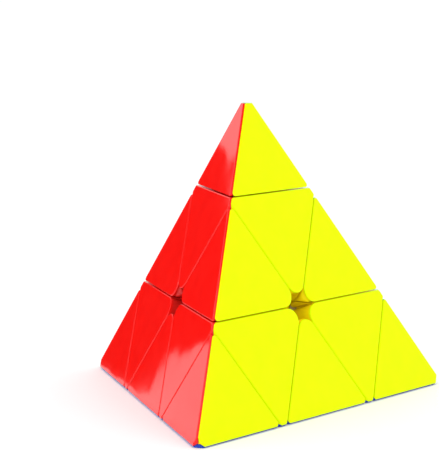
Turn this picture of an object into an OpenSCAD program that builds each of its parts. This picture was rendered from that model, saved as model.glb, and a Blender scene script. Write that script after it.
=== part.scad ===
// Four-sided twisty puzzle: four tips, four centre pieces and six edge pieces on a four-armed core.
// Origin: middle of the core, where the four turning axes meet. +Z points to the upper corner.

/* [Overall] */
// Length of an edge of the pyramid, before its corners are trimmed
edge_length = 98; // [94:0.5:104]
// Share of an edge that a tip takes up
tip_share = 0.318; // [0.31:0.001:0.32]
// Height that is trimmed off each corner
corner_trim = 3.2; // [2:0.1:4]

/* [Shells] */
// Thickness of the coloured shells
shell_t = 2.5; // [2.3:0.1:2.6]
// Gap between two pieces that slide on each other
seam_gap = 0.3; // [0.2:0.05:0.35]
// Corner radius of the facelets round the star-shaped hole
star_r = 3.2; // [2.8:0.1:3.4]
// Wall thickness of the hollow frames and edge pieces
wall = 1.8; // [1.7:0.1:2.2]

/* [Mechanism] */
// Radius of the ball-shaped core
core_r = 9.4; // [9:0.1:9.6]
// Outer radius of the feet of the edge pieces
foot_r = 13.2; // [13:0.05:13.4]
// Height of the flat flanks of the feet, above the middle of the puzzle
foot_h = 4.6; // [4.55:0.05:4.9]
// Radius of the hub of a centre piece
hub_r = 6.4; // [6.2:0.1:6.6]
// Radius of the lug of a centre shell beside the star-shaped hole
lug_r = 8.5; // [7.5:0.1:9]

/* [Fasteners] */
// Radius of the screw shank
screw_r = 1.5; // [1.4:0.1:1.6]
// Radius of the screw head
head_r = 2.8; // [2.6:0.1:2.9]
// Outer radius of the spring
spring_r = 3; // [2.8:0.1:3.1]
// Thickness of the spring wire
wire_d = 0.6; // [0.5:0.05:0.7]
// Radius of an edge magnet
edge_magnet_r = 2; // [1.5:0.25:2]
// Radius of a tip magnet
tip_magnet_r = 1.5; // [1:0.25:1.5]
// Thickness of every magnet
magnet_t = 1.2; // [1:0.1:1.2]

/* [Hidden] */
$fn = 64;

// Corners of the pyramid, and for each the colour of the side that lies opposite to it
CORNER = ["top", "front_left", "front_right", "back"];
SIDE = ["blue", "green", "red", "yellow"];
PAINT = ["dodgerblue", "limegreen", "red", "yellow"];
frame_paint = "gainsboro";
steel_paint = "silver";

// Directions from the middle of the puzzle to its four corners
spread = sqrt(8) / 3;
V = [
    [0, 0, 1],
    [-spread * sin(60), -spread / 2, -1 / 3],
    [spread * sin(60), -spread / 2, -1 / 3],
    [0, spread, -1 / 3],
];

// Heights above the middle of the puzzle, along the axis through a corner
side_h = edge_length * sqrt(6) / 12;
corner_h = 3 * side_h;
layer_h = side_h / 3;
tip_h = corner_h - tip_share * 4 * side_h;

half_gap = seam_gap / 2;
fit_gap = 0.05;
mitre_gap = 0.02;
reach = edge_length;

// Screw, spring and washer stack on each arm, as heights along the arm
hub_h = 8;
arm_r = 4;
arm_h = 12.1;
ledge_h = arm_h + 0.2;
ledge_t = 2;
spring_h = 5.8;
spring_turns = 5;
wire_sides = 6;
wire_steps = 16;
washer_h = ledge_h + ledge_t + spring_h + 2 * fit_gap;
washer_t = 0.6;
head_t = 2;
shank_h = 5;

// Bores in the column of a centre frame, and the stem of a tip that snaps into them
column_r = 5.8;
counterbore_r = 4;
stem_r = 3.2;
stem_bore_r = 3.4;
stem_hook_r = 3.75;
stem_hook_h = 1.6;
top_t = 2;
floor_t = 2.6;
top_h = tip_h - half_gap;
slot_w = 0.8;

// Places of the magnets
edge_magnet_out = 26;
magnet_skin = 0.5;
tip_magnet_out = 7.6;

function unit(v) = v / norm(v);
function others(used) = [for (k = [0:3]) if (len(search(k, used)) == 0) k];
function edge_name(i, j) = str(SIDE[others([i, j])[1]], "_", SIDE[others([i, j])[0]], "_edge");

// ---- Space cutters, measured from the middle of the puzzle ----

// Turns +Z to the direction n
module aim(n) {
    rotate([0, acos(n[2]), atan2(n[1], n[0])]) children();
}

// Ball round the middle of the puzzle, with its poles square to the direction n
module ball(n, r) {
    aim(n) rotate([0, 90, 0]) sphere(r);
}

// Everything that lies further than d along the direction n
module beyond(n, d) {
    aim(n) translate([-reach, -reach, d]) cube(2 * reach);
}

// Everything that lies nearer than d along the direction n
module short_of(n, d) {
    beyond(-n, -d);
}

// Everything nearer to side g than to side f, and the fine gap before it
module mitre(f, g) {
    beyond(unit(V[f] - V[g]), -mitre_gap);
}

// Flat sheet just inside side f, as thick as a coloured shell
module side_sheet(f) {
    aim(-V[f]) translate([-0.6 * reach, -0.6 * reach, side_h - shell_t])
        cube([1.2 * reach, 1.2 * reach, shell_t]);
}

// Round lug under the middle of side f, from the height h up to the side
module lug(f, h, r) {
    aim(-V[f]) translate([0, 0, h]) cylinder(h = side_h - h, r = r);
}

// Star-shaped hole at the middle of side f, between six rounded facelet corners
module star_hole(f) {
    turn = f == 0 ? 30 : 0;
    aim(-V[f]) rotate(turn) translate([0, 0, foot_r]) linear_extrude(side_h) {
        difference() {
            circle(2 * star_r * cos(30));
            for (k = [0:5]) rotate(60 * k) translate([2 * star_r, 0]) circle(star_r - half_gap);
        }
    }
}

// ---- Core and its fasteners ----

module core() {
    color(frame_paint) difference() {
        union() {
            difference() {
                sphere(core_r);
                for (i = [0:3]) beyond(V[i], hub_h - seam_gap);
            }
            for (i = [0:3]) aim(V[i]) translate([0, 0, arm_r]) cylinder(h = arm_h - arm_r, r = arm_r);
        }
        for (i = [0:3]) aim(V[i]) translate([0, 0, shank_h - 1]) cylinder(h = arm_h, r = screw_r + fit_gap);
    }
}

module screw(i) {
    aim(V[i]) difference() {
        union() {
            translate([0, 0, shank_h]) cylinder(h = washer_h + washer_t + head_t / 2 - shank_h, r = screw_r);
            translate([0, 0, washer_h + washer_t]) cylinder(h = head_t, r = head_r);
        }
        for (a = [0, 90]) rotate(a) translate([-head_r / 1.5, -0.4, washer_h + washer_t + head_t - 1])
            cube([head_r / 0.75, 0.8, 2]);
    }
}

module core_screws() {
    color(steel_paint) for (i = [0:3]) screw(i);
}

module core_washers() {
    color(steel_paint) for (i = [0:3]) aim(V[i]) translate([0, 0, washer_h]) difference() {
        cylinder(h = washer_t, r = spring_r + 0.1);
        translate([0, 0, -1]) cylinder(h = washer_t + 2, r = screw_r + 2 * fit_gap);
    }
}

// Points round the wire at step s of the helix
function wire_ring(s) = let (
    a = 360 * s / wire_steps,
    coil_r = spring_r - wire_d / 2,
    climb = (spring_h - wire_d) / (spring_turns * wire_steps)
) [for (k = [0:wire_sides - 1]) let (b = 360 * k / wire_sides) [
    (coil_r + wire_d / 2 * cos(b)) * cos(a),
    (coil_r + wire_d / 2 * cos(b)) * sin(a),
    wire_d / 2 + climb * s + wire_d / 2 * sin(b)
]];

module spring() {
    last = spring_turns * wire_steps;
    points = [for (s = [0:last], p = wire_ring(s)) p];
    sides = [for (s = [0:last - 1], k = [0:wire_sides - 1]) let (m = (k + 1) % wire_sides) [
        s * wire_sides + k,
        (s + 1) * wire_sides + k,
        (s + 1) * wire_sides + m,
        s * wire_sides + m
    ]];
    ends = [
        [for (k = [0:wire_sides - 1]) k],
        [for (k = [0:wire_sides - 1]) last * wire_sides + wire_sides - 1 - k]
    ];
    polyhedron(points, concat(sides, ends));
}

module core_springs() {
    color(steel_paint) for (i = [0:3]) aim(V[i]) translate([0, 0, ledge_h + ledge_t + fit_gap]) spring();
}

// ---- Magnets ----

// Disc on the track of layer j, beside the ridge that runs to corner i; h is its height on the axis of j
module track_disc(i, j, h, r, t) {
    translate(V[j] * h + unit(V[i] + V[j] / 3) * edge_magnet_out) aim(V[j]) cylinder(h = t, r = r);
}

// Three discs under or on the seam of tip i, each towards a ridge
module tip_discs(i, h, r, t) {
    for (j = others([i])) translate(V[i] * h + unit(V[j] + V[i] / 3) * tip_magnet_out)
        aim(V[i]) cylinder(h = t, r = r);
}

// ---- Centre pieces ----

// Space of a centre piece between its own layer's track, the other three tracks and its tip
module centre_block(i, track_in, ball_r, top) {
    difference() {
        aim(V[i]) translate([-reach / 2, -reach / 2, layer_h + half_gap + track_in])
            cube([reach, reach, top - layer_h - half_gap - track_in]);
        for (j = others([i])) beyond(V[j], layer_h - half_gap - track_in);
        sphere(ball_r);
    }
}

// Hollow of a centre frame, open towards its three coloured shells
module frame_hollow(i) {
    difference() {
        centre_block(i, wall, foot_r + seam_gap + floor_t, top_h - top_t);
        aim(V[i]) cylinder(h = corner_h, r = column_r);
    }
}

module centre_frame(i) {
    color(frame_paint) difference() {
        union() {
            difference() {
                centre_block(i, 0, foot_r + seam_gap, top_h);
                frame_hollow(i);
            }
            aim(V[i]) translate([0, 0, hub_h]) cylinder(h = foot_r + floor_t - hub_h, r = hub_r);
            aim(V[i]) translate([0, 0, hub_h]) cylinder(h = top_h - hub_h, r = column_r);
        }
        for (f = others([i])) {
            beyond(-V[f], side_h - shell_t);
            lug(f, foot_r - fit_gap, lug_r + fit_gap);
        }
        aim(V[i]) {
            cylinder(h = corner_h, r = screw_r + 0.3);
            cylinder(h = ledge_h, r = arm_r + seam_gap);
            translate([0, 0, ledge_h + ledge_t]) cylinder(h = corner_h, r = stem_bore_r);
            translate([0, 0, ledge_h + ledge_t]) cylinder(h = top_h - top_t - ledge_h - ledge_t, r = counterbore_r);
        }
        for (j = others([i])) track_disc(i, j, layer_h - half_gap - wall - 1,
            edge_magnet_r + fit_gap, wall + 1 - magnet_skin);
        tip_discs(i, top_h - magnet_t - 3 * fit_gap, tip_magnet_r + fit_gap, corner_h);
    }
}

module centre_magnets(i) {
    color(steel_paint) {
        for (j = others([i])) track_disc(i, j, layer_h - half_gap - magnet_skin - magnet_t,
            edge_magnet_r, magnet_t);
        tip_discs(i, top_h - magnet_t - 3 * fit_gap, tip_magnet_r, magnet_t);
    }
}

module centre_shell(i, f) {
    color(PAINT[f]) difference() {
        union() {
            side_sheet(f);
            lug(f, foot_r, lug_r);
        }
        short_of(V[i], layer_h + half_gap);
        beyond(V[i], top_h);
        for (j = others([i, f])) {
            beyond(V[j], layer_h - half_gap);
            mitre(f, j);
        }
        sphere(foot_r + seam_gap);
        star_hole(f);
    }
}

// ---- Tips ----

// Stem that snaps through the top of the centre frame, slotted so that its hooks can bend
module tip_stem(i) {
    aim(V[i]) difference() {
        union() {
            translate([0, 0, top_h - top_t - stem_hook_h]) cylinder(h = top_t + stem_hook_h + seam_gap, r = stem_r);
            translate([0, 0, top_h - top_t - half_gap - stem_hook_h])
                cylinder(h = stem_hook_h, r1 = stem_r - 0.3, r2 = stem_hook_r);
        }
        for (a = [45, 135]) rotate(a) translate([-stem_hook_r - 1, -slot_w / 2, 0])
            cube([2 * stem_hook_r + 2, slot_w, top_h - 0.4]);
    }
}

module tip_base(i) {
    color(frame_paint) difference() {
        union() {
            aim(V[i]) translate([0, 0, tip_h + half_gap]) cylinder(h = corner_h - tip_h, r = corner_h - tip_h);
            tip_stem(i);
        }
        for (f = others([i])) beyond(-V[f], side_h - shell_t);
        aim(V[i]) cylinder(h = tip_h + 8, r = stem_r - 1.2);
        tip_discs(i, tip_h - 1, tip_magnet_r + fit_gap, magnet_t + half_gap + 1 + 3 * fit_gap);
    }
    color(steel_paint) tip_discs(i, tip_h + half_gap + 2 * fit_gap, tip_magnet_r, magnet_t);
}

module tip_shell(i, f) {
    color(PAINT[f]) intersection() {
        difference() {
            side_sheet(f);
            short_of(V[i], tip_h + half_gap);
            for (g = others([i, f])) mitre(f, g);
        }
        ball(V[i], corner_h - corner_trim);
    }
}

// ---- Edge pieces ----

// Wedge between the tracks of layers i and j, set in from the sides and the tracks, outside a ball
module edge_wedge(i, j, side_in, track_in, ball_r) {
    difference() {
        aim(unit(V[i] + V[j])) translate([-reach / 2, -reach / 2, 0]) cube(reach);
        for (f = others([i, j])) beyond(-V[f], side_h - side_in);
        short_of(V[i], layer_h + track_in);
        short_of(V[j], layer_h + track_in);
        ball(unit(V[i] + V[j]), ball_r);
    }
}

// Foot that the flanges of layers i and j trap
module edge_foot(i, j) {
    difference() {
        ball(unit(V[i] + V[j]), foot_r);
        ball(unit(V[i] + V[j]), core_r + seam_gap);
        short_of(V[i], foot_h);
        short_of(V[j], foot_h);
    }
}

module edge_half(i, j, f) {
    h = others([i, j, f])[0];
    color(PAINT[f]) difference() {
        union() {
            edge_wedge(i, j, 0, half_gap, foot_r - 0.5);
            edge_foot(i, j);
        }
        edge_wedge(i, j, shell_t, half_gap + wall, foot_r + floor_t);
        mitre(f, h);
        star_hole(f);
        track_disc(i, j, layer_h + half_gap + magnet_skin, edge_magnet_r + fit_gap, wall);
        track_disc(j, i, layer_h + half_gap + magnet_skin, edge_magnet_r + fit_gap, wall);
    }
}

module edge_magnets(i, j) {
    color(steel_paint) {
        track_disc(i, j, layer_h + half_gap + magnet_skin, edge_magnet_r, magnet_t);
        track_disc(j, i, layer_h + half_gap + magnet_skin, edge_magnet_r, magnet_t);
    }
}

// ---- Assembly ----

core();
core_screws();
core_springs();
core_washers();
for (i = [0:3]) {
    centre_frame(i);
    centre_magnets(i);
    tip_base(i);
    for (f = others([i])) {
        centre_shell(i, f);
        tip_shell(i, f);
    }
}
for (i = [0:2], j = [i + 1:3]) {
    edge_magnets(i, j);
    for (f = others([i, j])) {
        edge_half(i, j, f);
    }
}
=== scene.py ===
import math

import bmesh
import bpy
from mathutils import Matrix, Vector


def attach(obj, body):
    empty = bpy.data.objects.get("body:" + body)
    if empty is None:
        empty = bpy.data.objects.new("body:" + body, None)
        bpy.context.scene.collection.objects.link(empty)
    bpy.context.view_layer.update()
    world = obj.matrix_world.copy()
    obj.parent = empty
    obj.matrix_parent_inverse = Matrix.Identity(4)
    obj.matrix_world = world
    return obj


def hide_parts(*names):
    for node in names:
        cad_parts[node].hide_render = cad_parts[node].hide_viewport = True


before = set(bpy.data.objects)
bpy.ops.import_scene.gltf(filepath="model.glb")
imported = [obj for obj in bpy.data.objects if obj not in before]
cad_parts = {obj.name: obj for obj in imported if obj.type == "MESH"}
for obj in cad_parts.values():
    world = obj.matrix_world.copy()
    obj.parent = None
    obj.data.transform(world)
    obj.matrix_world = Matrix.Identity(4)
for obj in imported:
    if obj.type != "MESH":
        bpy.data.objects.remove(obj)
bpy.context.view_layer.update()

MM = 0.001

# Sizes of the CAD model, in millimetres
EDGE = 98.0
TIP_SHARE = 0.318
TRIM = 3.2
GAP = 0.3
STAR_R = 3.06
SIDE_H = EDGE * math.sqrt(6) / 12
LAYER_H = SIDE_H / 3
TIP_H = 3 * SIDE_H - TIP_SHARE * 4 * SIDE_H
CORNERS = ["top", "front_left", "front_right", "back"]
SIDES = ["blue", "green", "red", "yellow"]
SPREAD = math.sqrt(8) / 3
AXES = [
    Vector((0, 0, 1)),
    Vector((-SPREAD * math.sin(math.pi / 3), -SPREAD / 2, -1 / 3)),
    Vector((SPREAD * math.sin(math.pi / 3), -SPREAD / 2, -1 / 3)),
    Vector((0, SPREAD, -1 / 3)),
]

# Angles inside the plastic between a coloured side and the wall below its edge
SHARP = math.acos(1 / 3)
BLUNT = math.pi - SHARP
RIDGE = SHARP / 2

# Rounding of the coloured pieces, in millimetres: along the seams, along the ridges, at a
# facelet's corners, and beside a trimmed corner
SEAM_R = 0.25
RIDGE_R = 0.8
CORNER_R = 0.75
TRIM_R = 0.7
# Half the groove along a ridge, and how far the looks stay inside the CAD faces
GROOVE = 0.035
SKIN = 0.008
# Depth at which the rounding has ended in the CAD wall
LIP = 1.0
# A trimmed edge stays this far inside the point where its two ridges meet
TRIM_MIN = 0.4
# A corner's radius shrinks towards the top of its rounding by this share of the inset. It stays
# above the first limit, and beside a trimmed corner below the second
CORNER_SHRINK = 0.45
CORNER_MIN_R = 0.25
TRIM_MAX_R = 0.3
ARC_STEPS = 6
CORNER_STEPS, TRIM_STEPS, STAR_STEPS = 7, 4, 12
# Below its cap each cutter widens by its reach and goes down to its depth
CUTTER_REACH = 80.0
CUTTER_DEPTH = 70.0
# Vertices of a CAD mesh closer than this are one
JOIN_WITHIN = 0.0001


def others(*used):
    return [k for k in range(4) if k not in used]


# ---- Coloured pieces: the CAD solid under a cap with rounded edges and corners ----

FACE_WEIGHT = 100


def profile(kind, angle, step):
    """Inset and depth of an edge's rounding at one of its steps.

    The step after the last is the wall below it.
    """
    if kind == "ridge":
        r, turn, wall = RIDGE_R, math.pi / 2 - RIDGE, RIDGE
        off = GROOVE
    else:
        r, turn, wall = SEAM_R, math.pi - angle, angle
        off = SKIN
    if step > ARC_STEPS:
        return LIP / math.tan(wall) + (GROOVE if kind == "ridge" else -2 * SKIN), LIP
    a = turn * step / ARC_STEPS
    return r / math.tan(angle / 2) - r * math.sin(a) + off, r * (1 - math.cos(a))


def outline(edges, step):
    """Points (x, y, depth) round a facelet at one step of its rounding."""
    n = len(edges)
    prof = [profile(e["kind"], e["angle"], step) for e in edges]
    last = [profile(e["kind"], e["angle"], ARC_STEPS) for e in edges]
    line = [e["s"] - inset for e, (inset, _) in zip(edges, prof)]
    for k, e in enumerate(edges):
        if e["kind"] == "trim":
            # the rounded ridges meet at twice their distance from the side's middle
            line[k] = min(line[k], 2 * line[k - 1] - TRIM_MIN)
    points = []
    for k in range(n):
        a, b = edges[k], edges[(k + 1) % n]
        (ia, da), (ib, db) = prof[k], prof[(k + 1) % n]
        (la, _), (lb, _) = last[k], last[(k + 1) % n]
        sa, sb = line[k], line[(k + 1) % n]
        det = a["e"].x * b["e"].y - a["e"].y * b["e"].x
        corner = Vector((
            (sa * b["e"].y - sb * a["e"].y) / det,
            (sb * a["e"].x - sa * b["e"].x) / det,
        ))
        out = (a["e"] + b["e"]).normalized()
        half = math.acos(max(-1, min(1, a["e"].dot(b["e"])))) / 2
        r = a["corner_r"] - CORNER_SHRINK * max(0, (ia - la) + (ib - lb))
        r = max(r, CORNER_MIN_R)
        if a["corner_r"] == TRIM_R:
            r = min(r, TRIM_MAX_R)
        middle = corner - out * (r / math.cos(half))
        start = math.atan2(a["e"].y, a["e"].x)
        steps = a["corner_steps"]
        for m in range(steps + 1):
            t = m / steps
            ang = start + 2 * half * t
            smooth = t * t * (3 - 2 * t)
            x, y = middle.x + r * math.cos(ang), middle.y + r * math.sin(ang)
            points.append((x, y, da + (db - da) * smooth))
    return points


def side_frame(f):
    """Outward normal of side f, two directions in it, and its middle."""
    n = -AXES[f]
    u = AXES[others(f)[0]] - n / 3
    u.normalize()
    return n, u, n.cross(u), n * SIDE_H


def edge_line(f, corner, limit, upper):
    """Edge of a facelet on side f, where the height towards a corner reaches a limit.

    Heights count from the puzzle's middle; an upper edge has its facelet below the limit.
    """
    n, u, v, _ = side_frame(f)
    d = Vector((AXES[corner].dot(u), AXES[corner].dot(v)))
    s = (limit - LAYER_H) / d.length
    d.normalize()
    sign, angle = (1, BLUNT) if upper else (-1, SHARP)
    return {"e": sign * d, "s": sign * s, "kind": "seam", "angle": angle}


def ridge_line(f, corner):
    e = edge_line(f, corner, -SIDE_H, False)
    e.update(kind="ridge", angle=SHARP)
    return e


def trim_line(f, corner):
    rho = math.sqrt((3 * SIDE_H - TRIM) ** 2 - SIDE_H**2)
    e = edge_line(f, corner, LAYER_H, True)
    e.update(kind="trim", s=rho)
    return e


def facelet(kind, f, i, j=None):
    """Edges of a facelet, in turning order, with the corner after each."""
    g = GAP / 2
    if kind == "tip":
        a, b = others(f, i)
        edges = [edge_line(f, i, TIP_H + g, False), ridge_line(f, a), ridge_line(f, b)]
        edges.append(trim_line(f, i))
    elif kind == "centre":
        a, b = others(f, i)
        edges = [edge_line(f, i, TIP_H - g, True), ridge_line(f, a), ridge_line(f, b)]
        edges += [edge_line(f, a, LAYER_H - g, True), edge_line(f, b, LAYER_H - g, True)]
    else:
        k = others(f, i, j)[0]
        edges = [edge_line(f, i, LAYER_H + g, False), edge_line(f, j, LAYER_H + g, False)]
        edges.append(ridge_line(f, k))
    edges.sort(key=lambda e: math.atan2(e["e"].y, e["e"].x))
    n = len(edges)
    for k, e in enumerate(edges):
        b = edges[(k + 1) % n]
        kinds = {e["kind"], b["kind"]}
        if "trim" in kinds:
            e["corner_r"], e["corner_steps"] = TRIM_R, TRIM_STEPS
        elif kinds == {"seam"}:
            e["corner_r"], e["corner_steps"] = STAR_R, STAR_STEPS
        else:
            e["corner_r"], e["corner_steps"] = CORNER_R, CORNER_STEPS
    return edges


def cap_mesh(name, f, edges):
    """Closed mesh: the facelet with its rounded edges on top, wider than the piece below them."""
    n, u, v, middle = side_frame(f)
    rings = [outline(edges, step) for step in range(ARC_STEPS + 2)]
    cx = sum(p[0] for p in rings[0]) / len(rings[0])
    cy = sum(p[1] for p in rings[0]) / len(rings[0])
    for depth in (None, CUTTER_DEPTH):
        far = []
        for x, y, d in rings[-1]:
            along = Vector((x - cx, y - cy))
            if depth is None:
                along = along.normalized() * CUTTER_REACH
            far.append((cx + along.x, cy + along.y, d if depth is None else depth))
        rings.append(far)
    bm = bmesh.new()
    loops = []
    for ring in rings:
        points = [(middle + u * x + v * y - n * (d + SKIN)) * MM for x, y, d in ring]
        loops.append([bm.verts.new(p) for p in points])
    count = len(loops[0])
    bm.faces.new(loops[0])
    for a, b in zip(loops, loops[1:]):
        for k in range(count):
            m = (k + 1) % count
            bm.faces.new((a[k], b[k], b[m], a[m]))
    bm.faces.new(list(reversed(loops[-1])))
    bmesh.ops.recalc_face_normals(bm, faces=bm.faces)
    mesh = bpy.data.meshes.new(name)
    bm.to_mesh(mesh)
    bm.free()
    return mesh


def clean_copy(node):
    """Closed copy of a CAD node's mesh, with the vertices of its faces joined."""
    bm = bmesh.new()
    bm.from_mesh(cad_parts[node].data)
    bmesh.ops.remove_doubles(bm, verts=bm.verts, dist=JOIN_WITHIN * MM)
    mesh = bpy.data.meshes.new(node + "_solid")
    bm.to_mesh(mesh)
    bm.free()
    return mesh


def shade(obj, angle=35):
    """Smooth shading, sharp where faces meet at more than an angle in degrees."""
    mesh = obj.data
    mesh.shade_smooth()
    mesh.set_sharp_from_angle(angle=math.radians(angle))
    mod = obj.modifiers.new("weighted", "WEIGHTED_NORMAL")
    mod.keep_sharp = True
    mod.weight = FACE_WEIGHT


def link(name, mesh, mat=None):
    obj = bpy.data.objects.new(name, mesh)
    bpy.context.scene.collection.objects.link(obj)
    if mat is not None:
        mesh.materials.clear()
        mesh.materials.append(mat)
    return obj


def coloured(node, body, f, edges):
    """The CAD solid of a coloured piece, cut to a cap with rounded edges."""
    solid = link(node + "_tmp", clean_copy(node))
    cap = link(node + "_cap", cap_mesh(node + "_cap", f, edges))
    mod = solid.modifiers.new("cap", "BOOLEAN")
    mod.operation, mod.solver, mod.object = "INTERSECT", "EXACT", cap
    dg = bpy.context.evaluated_depsgraph_get()
    mesh = bpy.data.meshes.new_from_object(solid.evaluated_get(dg))
    for o in (solid, cap):
        old = o.data
        bpy.data.objects.remove(o)
        bpy.data.meshes.remove(old)
    mesh.name = node + "_look"
    piece = link(node + "_look", mesh, PAINTS[f])
    shade(piece)
    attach(piece, body)
    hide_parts(node)
    return piece


# ---- Materials ----

MOTTLE_DETAIL = 3
MOTTLE_LOW, MOTTLE_HIGH = 0.3, 0.7
# Fine bump: how much finer than the mottle, and its depth in millimetres
FINE_RATIO = 9
FINE_DETAIL = 2
FINE_DEPTH = 0.02
# Slow waviness of a moulded side, with its depth in millimetres
WAVE_SCALE = 60
WAVE_DETAIL = 1
WAVE_DEPTH = 0.15
# Millimetres below a coloured side between which its plastic turns to the painted shade of its
# seams and its hole
SHADE_FROM, SHADE_TO = 0.1, 0.9


def material(
    name, colour, other, scale, rough, bump, metallic=0.0, spec=0.5, side=None, recess_shade=None
):
    """Procedural surface: two close colours and two roughnesses mixed by noise, with a fine bump.

    A coloured side's plastic is also slowly wavy, and below that side, in its seams and its hole,
    its colour turns to painted shade.
    """
    mat = bpy.data.materials.new(name)
    mat.use_nodes = True
    nt = mat.node_tree
    bsdf = nt.nodes["Principled BSDF"]
    bsdf.inputs["Metallic"].default_value = metallic
    bsdf.inputs["Specular IOR Level"].default_value = spec
    coords = nt.nodes.new("ShaderNodeTexCoord")
    mottle = nt.nodes.new("ShaderNodeTexNoise")
    mottle.inputs["Scale"].default_value = scale
    mottle.inputs["Detail"].default_value = MOTTLE_DETAIL
    nt.links.new(coords.outputs["Object"], mottle.inputs["Vector"])
    ramp = nt.nodes.new("ShaderNodeValToRGB")
    ramp.color_ramp.elements[0].position = MOTTLE_LOW
    ramp.color_ramp.elements[0].color = (*other, 1)
    ramp.color_ramp.elements[1].position = MOTTLE_HIGH
    ramp.color_ramp.elements[1].color = (*colour, 1)
    nt.links.new(mottle.outputs["Fac"], ramp.inputs["Fac"])
    tone = ramp.outputs["Color"]
    # Painted shade: below a coloured side, in its seams and its hole, the colour mixes to the
    # shade colour passed in
    if side is not None:
        height = nt.nodes.new("ShaderNodeVectorMath")
        height.operation = "DOT_PRODUCT"
        height.inputs[1].default_value = -AXES[side]
        nt.links.new(coords.outputs["Object"], height.inputs[0])
        below = nt.nodes.new("ShaderNodeMapRange")
        below.inputs["From Min"].default_value = (SIDE_H - SHADE_FROM) * MM
        below.inputs["From Max"].default_value = (SIDE_H - SHADE_TO) * MM
        nt.links.new(height.outputs["Value"], below.inputs["Value"])
        shade_mix = nt.nodes.new("ShaderNodeMix")
        shade_mix.data_type = "RGBA"
        for socket in shade_mix.inputs:
            if socket.identifier == "B_Color":
                socket.default_value = (*recess_shade, 1)
            if socket.identifier == "A_Color":
                nt.links.new(tone, socket)
        nt.links.new(below.outputs["Result"], shade_mix.inputs["Factor"])
        tone = next(out for out in shade_mix.outputs if out.identifier == "Result_Color")
    nt.links.new(tone, bsdf.inputs["Base Color"])
    spread = nt.nodes.new("ShaderNodeMapRange")
    spread.inputs["To Min"].default_value = rough[0]
    spread.inputs["To Max"].default_value = rough[1]
    nt.links.new(mottle.outputs["Fac"], spread.inputs["Value"])
    nt.links.new(spread.outputs["Result"], bsdf.inputs["Roughness"])
    fine = nt.nodes.new("ShaderNodeTexNoise")
    fine.inputs["Scale"].default_value = scale * FINE_RATIO
    fine.inputs["Detail"].default_value = FINE_DETAIL
    nt.links.new(coords.outputs["Object"], fine.inputs["Vector"])
    relief = nt.nodes.new("ShaderNodeBump")
    relief.inputs["Strength"].default_value = bump
    relief.inputs["Distance"].default_value = FINE_DEPTH * MM
    nt.links.new(fine.outputs["Fac"], relief.inputs["Height"])
    if side is not None:
        slow = nt.nodes.new("ShaderNodeTexNoise")
        slow.inputs["Scale"].default_value = WAVE_SCALE
        slow.inputs["Detail"].default_value = WAVE_DETAIL
        nt.links.new(coords.outputs["Object"], slow.inputs["Vector"])
        sink = nt.nodes.new("ShaderNodeBump")
        sink.inputs["Strength"].default_value = 1.0
        sink.inputs["Distance"].default_value = WAVE_DEPTH * MM
        nt.links.new(slow.outputs["Fac"], sink.inputs["Height"])
        nt.links.new(sink.outputs["Normal"], relief.inputs["Normal"])
    nt.links.new(relief.outputs["Normal"], bsdf.inputs["Normal"])
    return mat


# Noise scale of the coloured plastics
GRAIN = 220
BLUE, GREEN, RED, YELLOW = range(4)
# Each paint's last colour is the painted shade of its seams and its hole
PAINTS = [
    material(
        "blue_plastic", (0.006, 0.06, 0.55), (0.005, 0.05, 0.5),
        scale=GRAIN, rough=(0.08, 0.14), bump=0.15,
        spec=0.34, side=BLUE, recess_shade=(0.003, 0.03, 0.3),
    ),
    material(
        "green_plastic", (0.01, 0.5, 0.05), (0.01, 0.46, 0.045),
        scale=GRAIN, rough=(0.08, 0.14), bump=0.15,
        spec=0.34, side=GREEN, recess_shade=(0.005, 0.28, 0.03),
    ),
    material(
        "red_plastic", (1.0, 0.006, 0.003), (0.95, 0.004, 0.002),
        scale=GRAIN, rough=(0.04, 0.08), bump=0.12,
        spec=0.34, side=RED, recess_shade=(0.75, 0.02, 0.015),
    ),
    material(
        "yellow_plastic", (0.77, 1.0, 0.001), (0.74, 0.98, 0.001),
        scale=GRAIN, rough=(0.12, 0.2), bump=0.15,
        spec=0.04, side=YELLOW, recess_shade=(1.0, 0.8, 0.003),
    ),
]
INNER = material(
    "inner_plastic", (0.5, 0.42, 0.2), (0.46, 0.38, 0.18),
    scale=300, rough=(0.45, 0.55), bump=0.5,
)
CORE = material(
    "core_plastic", (0.62, 0.62, 0.6), (0.57, 0.57, 0.55),
    scale=300, rough=(0.4, 0.5), bump=0.5,
)
STEEL = material(
    "screw_steel", (0.6, 0.6, 0.6), (0.52, 0.52, 0.53),
    scale=900, rough=(0.22, 0.34), bump=0.6, metallic=1.0,
)
WIRE = material(
    "spring_steel", (0.5, 0.5, 0.52), (0.42, 0.42, 0.44),
    scale=900, rough=(0.25, 0.36), bump=0.6, metallic=1.0,
)
NICKEL = material(
    "magnet_plating", (0.7, 0.69, 0.66), (0.65, 0.64, 0.6),
    scale=700, rough=(0.12, 0.2), bump=0.3, metallic=1.0,
)


def finish_of(node):
    if node == "core":
        return CORE, "core_plastic"
    if node in ("core_screws", "core_washers"):
        return STEEL, "screw_steel"
    if node.endswith("magnets"):
        return NICKEL, "magnet_plating"
    return INNER, "inner_plastic"


# ---- Build ----

for i, corner in enumerate(CORNERS):
    for f in others(i):
        centre, tip = facelet("centre", f, i), facelet("tip", f, i)
        coloured(f"{corner}_centre_{SIDES[f]}_shell", corner + "_centre", f, centre)
        coloured(f"{corner}_tip_{SIDES[f]}_shell", corner + "_tip", f, tip)

for i in range(4):
    for j in range(i + 1, 4):
        first, second = others(i, j)
        name = f"{SIDES[second]}_{SIDES[first]}_edge"
        for f in (first, second):
            coloured(f"{name}_{SIDES[f]}_half", name, f, facelet("edge", f, i, j))


# Springs, in millimetres: radii of the wire and the coil, foot above the puzzle's middle, height
WIRE_R = 0.3
COIL_R = 2.69
SPRING_FOOT = 14.36
SPRING_H = 5.8
SPRING_TURNS, TURN_STEPS, WIRE_SIDES = 5, 32, 12
# Radius of the modelled wire as a share of the CAD's
WIRE_SHRINK = 0.98
# Angle above which a spring's faces stay sharp
SPRING_SHARP = 50


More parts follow.
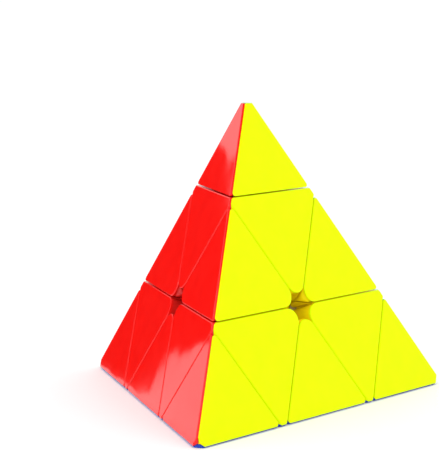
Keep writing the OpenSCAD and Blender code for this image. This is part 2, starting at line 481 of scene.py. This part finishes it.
def spring_mesh(name):
    """Four helical springs, one on each arm of the core."""
    low = SPRING_FOOT + WIRE_R
    climb = (SPRING_H - 2 * WIRE_R) / (SPRING_TURNS * TURN_STEPS)
    bm = bmesh.new()
    for axis in AXES:
        turn = axis.to_track_quat("Z", "Y")
        rings = []
        for s in range(SPRING_TURNS * TURN_STEPS + 1):
            a = 2 * math.pi * s / TURN_STEPS
            ring = []
            for k in range(WIRE_SIDES):
                b = 2 * math.pi * k / WIRE_SIDES
                r = COIL_R + WIRE_R * WIRE_SHRINK * math.cos(b)
                z = low + climb * s + WIRE_R * WIRE_SHRINK * math.sin(b)
                p = Vector((r * math.cos(a), r * math.sin(a), z))
                ring.append(bm.verts.new((turn @ p) * MM))
            rings.append(ring)
        for a, b in zip(rings, rings[1:]):
            for k in range(WIRE_SIDES):
                m = (k + 1) % WIRE_SIDES
                bm.faces.new((a[k], a[m], b[m], b[k]))
        bm.faces.new(list(reversed(rings[0])))
        bm.faces.new(rings[-1])
    bmesh.ops.recalc_face_normals(bm, faces=bm.faces)
    mesh = bpy.data.meshes.new(name)
    bm.to_mesh(mesh)
    bm.free()
    return mesh


springs = link("core_springs_look", spring_mesh("core_springs_look"), WIRE)
shade(springs, SPRING_SHARP)
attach(springs, "core")
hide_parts("core_springs")

for name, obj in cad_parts.items():
    if obj.hide_render:
        continue
    mat, slot_name = finish_of(name)
    obj.data.materials.clear()
    obj.data.materials.append(mat)

# ---- Studio ----

# Metres from the floor's middle to its rims, and millimetres that it stays below the puzzle
FLOOR_HALF = 6
FLOOR_DROP = 0.02
SKY_STRENGTH = 1.08


def area(name, place, target, size, power):
    """Square lamp, in metres and watts, that faces a target."""
    light = bpy.data.lights.new(name, "AREA")
    light.energy, light.size = power, size
    obj = bpy.data.objects.new(name, light)
    bpy.context.scene.collection.objects.link(obj)
    obj.location = place
    obj.rotation_euler = (Vector(target) - Vector(place)).to_track_quat("-Z", "Y").to_euler()


floor_mesh = bpy.data.meshes.new("floor")
rims = [(FLOOR_HALF * x, FLOOR_HALF * y, 0) for x, y in [(-1, -1), (1, -1), (1, 1), (-1, 1)]]
floor_mesh.from_pydata(rims, [], [(0, 1, 2, 3)])
PAPER = material(
    "floor_paper", (0.97, 0.97, 0.97), (0.95, 0.95, 0.95),
    scale=3, rough=(0.9, 0.95), bump=0.1,
)
floor = link("floor", floor_mesh, PAPER)
floor.location = (0, 0, (-SIDE_H - FLOOR_DROP) * MM)

# Dark cards that the red side reflects: one upright, one flat on the floor before it, and an
# arch of two overhead. They are seen only as reflections and cast no shadow. All are turned by
# CARD_TURN about the vertical, and measured in millimetres from the puzzle's middle.
CARD_AWAY = 220.0
CARD_TURN = math.radians(-9.8)
FLAT_NEAR = 110
FLAT_LEFT, FLAT_RIGHT = -24, 60
FLAT_LIFT = 0.1
ARCH_AWAY = 420
ARCH_HALF_W = 80
FELT = material(
    "card_felt", (0.012, 0.012, 0.013), (0.008, 0.008, 0.009),
    scale=60, rough=(0.9, 1.0), bump=0.2,
)


def card(name, points):
    """Flat dark card with these corners, seen only by reflected rays."""
    mesh = bpy.data.meshes.new(name)
    mesh.from_pydata([(x * MM, y * MM, z * MM) for x, y, z in points], [], [range(len(points))])
    obj = link(name, mesh, FELT)
    obj.rotation_euler = (0, 0, CARD_TURN)
    obj.visible_camera = obj.visible_diffuse = obj.visible_shadow = False


# Outline of the upright card: across and up
UPRIGHT = [
    (50, -20), (-24, -20), (-25, -3), (-28, 3), (-33, 9), (-48, 12),
    (-48, 50), (-9, 54), (-5, 62), (1, 68), (7, 70), (50, 72),
]
card("upright_card", [(x, CARD_AWAY, z) for x, z in UPRIGHT])
arch = [Vector((-0.36, 0.72, 0.6)), Vector((-0.5, 0.3, 0.8)), Vector((-0.5, -0.1, 0.85))]
arch_mm = [p * ARCH_AWAY for p in arch]
for k, (a, b) in enumerate(zip(arch_mm, arch_mm[1:])):
    wide = (b - a).cross(a).normalized() * ARCH_HALF_W
    card(f"arch_card_{k}", [tuple(a - wide), tuple(a + wide), tuple(b + wide), tuple(b - wide)])
FLAT = [
    (FLAT_LEFT, FLAT_NEAR), (FLAT_RIGHT, FLAT_NEAR),
    (FLAT_RIGHT, CARD_AWAY), (FLAT_LEFT, CARD_AWAY),
]
card("flat_card", [(x, y, FLAT_LIFT - SIDE_H) for x, y in FLAT])

world = bpy.data.worlds.new("studio")
bpy.context.scene.world = world
world.use_nodes = True
world.node_tree.nodes["Background"].inputs["Color"].default_value = (1, 1, 1, 1)
world.node_tree.nodes["Background"].inputs["Strength"].default_value = SKY_STRENGTH

area("key", (-0.05, -0.9, 0.68), (0, 0, 0.01), size=0.6, power=1.5)
area("side", (-0.9, 0.1, 0.53), (0, 0, 0.02), size=0.5, power=1.5)

# ---- Camera, at the photo's viewing angle ----

# Azimuth and elevation of the camera from its pivot, and of the line it looks back along
VIEW_FROM = (-48.2, 9.66)
VIEW_BACK = (-47.358, 7.815)
# Metres: from the pivot to the camera, and of the pivot above the side the puzzle stands on
VIEW_AWAY = 0.472
PIVOT_UP = 0.03
LENS = 149.4
SENSOR_W = 36
CLIP_NEAR, CLIP_FAR = 0.01, 20


def direction(azimuth, elevation):
    """Unit vector from the puzzle towards an azimuth, 0 at the yellow side, and an elevation."""
    a, e = math.radians(azimuth), math.radians(elevation)
    return Vector((math.sin(a) * math.cos(e), -math.cos(a) * math.cos(e), math.sin(e)))


camera = bpy.data.cameras.new("camera")
camera.sensor_fit = "HORIZONTAL"
camera.sensor_width = SENSOR_W
camera.lens = LENS
camera.clip_start, camera.clip_end = CLIP_NEAR, CLIP_FAR
cam = bpy.data.objects.new("camera", camera)
bpy.context.scene.collection.objects.link(cam)
cam.location = Vector((0, 0, PIVOT_UP - SIDE_H * MM)) + direction(*VIEW_FROM) * VIEW_AWAY
cam.rotation_euler = (-direction(*VIEW_BACK)).to_track_quat("-Z", "Y").to_euler()
bpy.context.scene.camera = cam
bpy.context.scene.view_settings.view_transform = "Standard"
